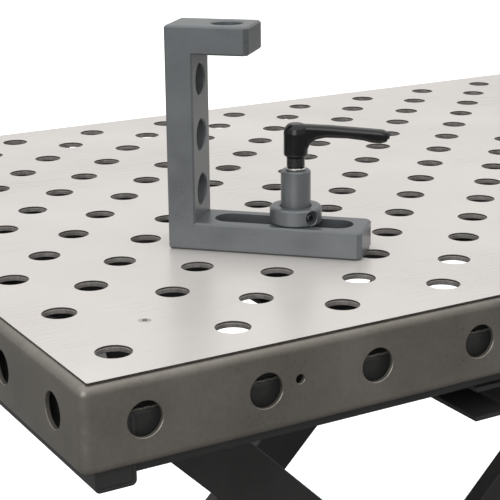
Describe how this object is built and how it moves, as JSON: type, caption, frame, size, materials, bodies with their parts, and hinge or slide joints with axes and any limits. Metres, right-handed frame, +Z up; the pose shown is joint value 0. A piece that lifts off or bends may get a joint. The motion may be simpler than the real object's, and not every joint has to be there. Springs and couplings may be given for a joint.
{
  "type": "welding table",
  "caption": "Scissor-lift welding table: perforated steel top with skirts, levelling feet and a clamping square held by a lever bolt.",
  "frame": {"origin": "on the floor, under the middle of the table top", "axes": "+X along the long side, away from the lift's fixed hinges; +Y along the short side, away from the clamping square's corner; +Z up"},
  "size_m": [1.2, 0.8, 1.1003],
  "materials": {
    "brushed_sheet": "fine brushed bare sheet steel",
    "body_steel": "dark warm grey, satin, slightly mottled",
    "black_paint": "satin black powder coat",
    "black_oxide": "black oxide, satin",
    "bright_steel": "turned bright steel",
    "nitrided_steel": "blue-grey nitrided, fine machined",
    "black_handle": "glossy black enamel on a casting",
    "pump_red": "semi-gloss red enamel"
  },
  "bodies": {
    "base": {"base_rail_front": "black_paint", "base_rail_rear": "black_paint", "base_cross_left": "black_paint", "base_cross_right": "black_paint", "base_bridge": "black_paint", "lower_hinge_shaft": "bright_steel", "pump_block": "pump_red", "foot_nut_1": "bright_steel", "foot_nut_2": "bright_steel", "foot_nut_3": "bright_steel", "foot_nut_4": "bright_steel"},
    "inner_arms": {"inner_arm_front": "black_paint", "inner_arm_rear": "black_paint", "lift_tube": "black_paint", "centre_pin_front": "bright_steel", "centre_pin_rear": "bright_steel", "upper_roller_axle_front": "bright_steel", "upper_roller_axle_rear": "bright_steel"},
    "outer_arms": {"outer_arm_front": "black_paint", "outer_arm_rear": "black_paint", "lower_roller_shaft": "bright_steel"},
    "table_top": {"top_sheet": "brushed_sheet", "table_body": "body_steel", "sheet_screw_1": "bright_steel", "sheet_screw_2": "bright_steel", "sheet_screw_3": "bright_steel", "sheet_screw_4": "bright_steel", "rail_front": "black_paint", "rail_rear": "black_paint", "rib_front": "black_paint", "rib_rear": "black_paint", "end_beam_left": "black_paint", "end_beam_right": "black_paint", "cross_beam_left": "black_paint", "cross_beam_right": "black_paint", "upper_track_front": "black_paint", "upper_track_rear": "black_paint", "upper_lug_front": "black_paint", "upper_lug_rear": "black_paint", "upper_hinge_shaft": "bright_steel"},
    "upper_roller_front": {"upper_roller_front": "bright_steel"},
    "upper_roller_rear": {"upper_roller_rear": "bright_steel"},
    "lower_roller_front": {"lower_roller_front": "bright_steel"},
    "lower_roller_rear": {"lower_roller_rear": "bright_steel"},
    "cylinder_barrel": {"cylinder_barrel": "pump_red"},
    "piston_rod": {"piston_rod": "bright_steel"},
    "pump_pedal": {"pump_pedal": "black_paint"},
    "release_rod": {"release_rod": "bright_steel"},
    "levelling_foot_1": {"levelling_foot_1": "black_oxide"},
    "levelling_foot_2": {"levelling_foot_2": "black_oxide"},
    "levelling_foot_3": {"levelling_foot_3": "black_oxide"},
    "levelling_foot_4": {"levelling_foot_4": "black_oxide"},
    "clamp_bolt": {"bolt_sleeve": "nitrided_steel", "set_collar": "nitrided_steel", "collar_screw": "black_oxide", "washer": "bright_steel"},
    "clamping_square": {"clamping_square": "nitrided_steel"},
    "clamp_lever": {"spindle": "black_oxide", "clamp_lever": "black_handle", "lever_screw": "black_oxide"}
  },
  "joints": [
    {"name": "lift", "type": "hinge", "parent": "base", "child": "inner_arms", "pos_m": [-0.511, 0, 0.0993], "axis": [0, -1, 0], "range_deg": [-25, 5]},
    {"name": "scissor_centre", "type": "hinge", "parent": "inner_arms", "child": "outer_arms", "pos_m": [-0.1385, 0, 0.4718], "axis": [0, -1, 0], "range_deg": [-10.5, 50.5]},
    {"name": "top_level", "type": "hinge", "parent": "outer_arms", "child": "table_top", "pos_m": [-0.511, 0, 0.8443], "axis": [0, -1, 0], "range_deg": [-25.5, 5.5]},
    {"name": "cylinder_tilt", "type": "hinge", "parent": "base", "child": "cylinder_barrel", "pos_m": [-0.392, 0, 0.0953], "axis": [0, -1, 0], "range_deg": [-32, 6.5]},
    {"name": "rod_stroke", "type": "slide", "parent": "cylinder_barrel", "child": "piston_rod", "axis": [0.4597, 0, 0.8881], "range_m": [-0.0405, 0.0085]},
    {"name": "upper_roller_front_spin", "type": "hinge", "parent": "inner_arms", "child": "upper_roller_front", "pos_m": [0.234, -0.222, 0.8443], "axis": [0, 1, 0], "continuous": true},
    {"name": "upper_roller_rear_spin", "type": "hinge", "parent": "inner_arms", "child": "upper_roller_rear", "pos_m": [0.234, 0.222, 0.8443], "axis": [0, 1, 0], "continuous": true},
    {"name": "lower_roller_front_spin", "type": "hinge", "parent": "outer_arms", "child": "lower_roller_front", "pos_m": [0.234, -0.222, 0.0993], "axis": [0, 1, 0], "continuous": true},
    {"name": "lower_roller_rear_spin", "type": "hinge", "parent": "outer_arms", "child": "lower_roller_rear", "pos_m": [0.234, 0.222, 0.0993], "axis": [0, 1, 0], "continuous": true},
    {"name": "pedal_press", "type": "hinge", "parent": "base", "child": "pump_pedal", "pos_m": [-0.443, -0.1395, 0.118], "axis": [0, -1, 0], "range_deg": [0, 12], "stiffness_Nm_per_rad": 3, "springref_deg": -17.19},
    {"name": "release_press", "type": "hinge", "parent": "base", "child": "release_rod", "pos_m": [-0.443, -0.0413, 0.118], "axis": [0, -1, 0], "range_deg": [0, 10], "stiffness_Nm_per_rad": 1.5, "springref_deg": -17.19},
    {"name": "foot_1_adjust", "type": "slide", "parent": "base", "child": "levelling_foot_1", "axis": [0, 0, 1], "range_m": [-0.015, 0.02]},
    {"name": "foot_2_adjust", "type": "slide", "parent": "base", "child": "levelling_foot_2", "axis": [0, 0, 1], "range_m": [-0.015, 0.02]},
    {"name": "foot_3_adjust", "type": "slide", "parent": "base", "child": "levelling_foot_3", "axis": [0, 0, 1], "range_m": [-0.015, 0.02]},
    {"name": "foot_4_adjust", "type": "slide", "parent": "base", "child": "levelling_foot_4", "axis": [0, 0, 1], "range_m": [-0.015, 0.02]},
    {"name": "bolt_swivel", "type": "hinge", "parent": "table_top", "child": "clamp_bolt", "pos_m": [-0.3, -0.2, 0.9], "axis": [0, 0, 1], "continuous": true},
    {"name": "square_slide", "type": "slide", "parent": "clamp_bolt", "child": "clamping_square", "axis": [-0.7071, 0.7071, 0], "range_m": [-0.059, 0.037]},
    {"name": "lever_turn", "type": "hinge", "parent": "clamp_bolt", "child": "clamp_lever", "pos_m": [-0.3, -0.2, 0.985], "axis": [0, 0, 1], "continuous": true}
  ],
  "couplings": [
    {"joint": "scissor_centre", "follows": "lift", "ratio": -2},
    {"joint": "top_level", "follows": "lift", "ratio": 1},
    {"joint": "cylinder_tilt", "follows": "lift", "ratio": 1.2659},
    {"joint": "rod_stroke", "follows": "lift", "m_per_rad": 0.09168}
  ]
}
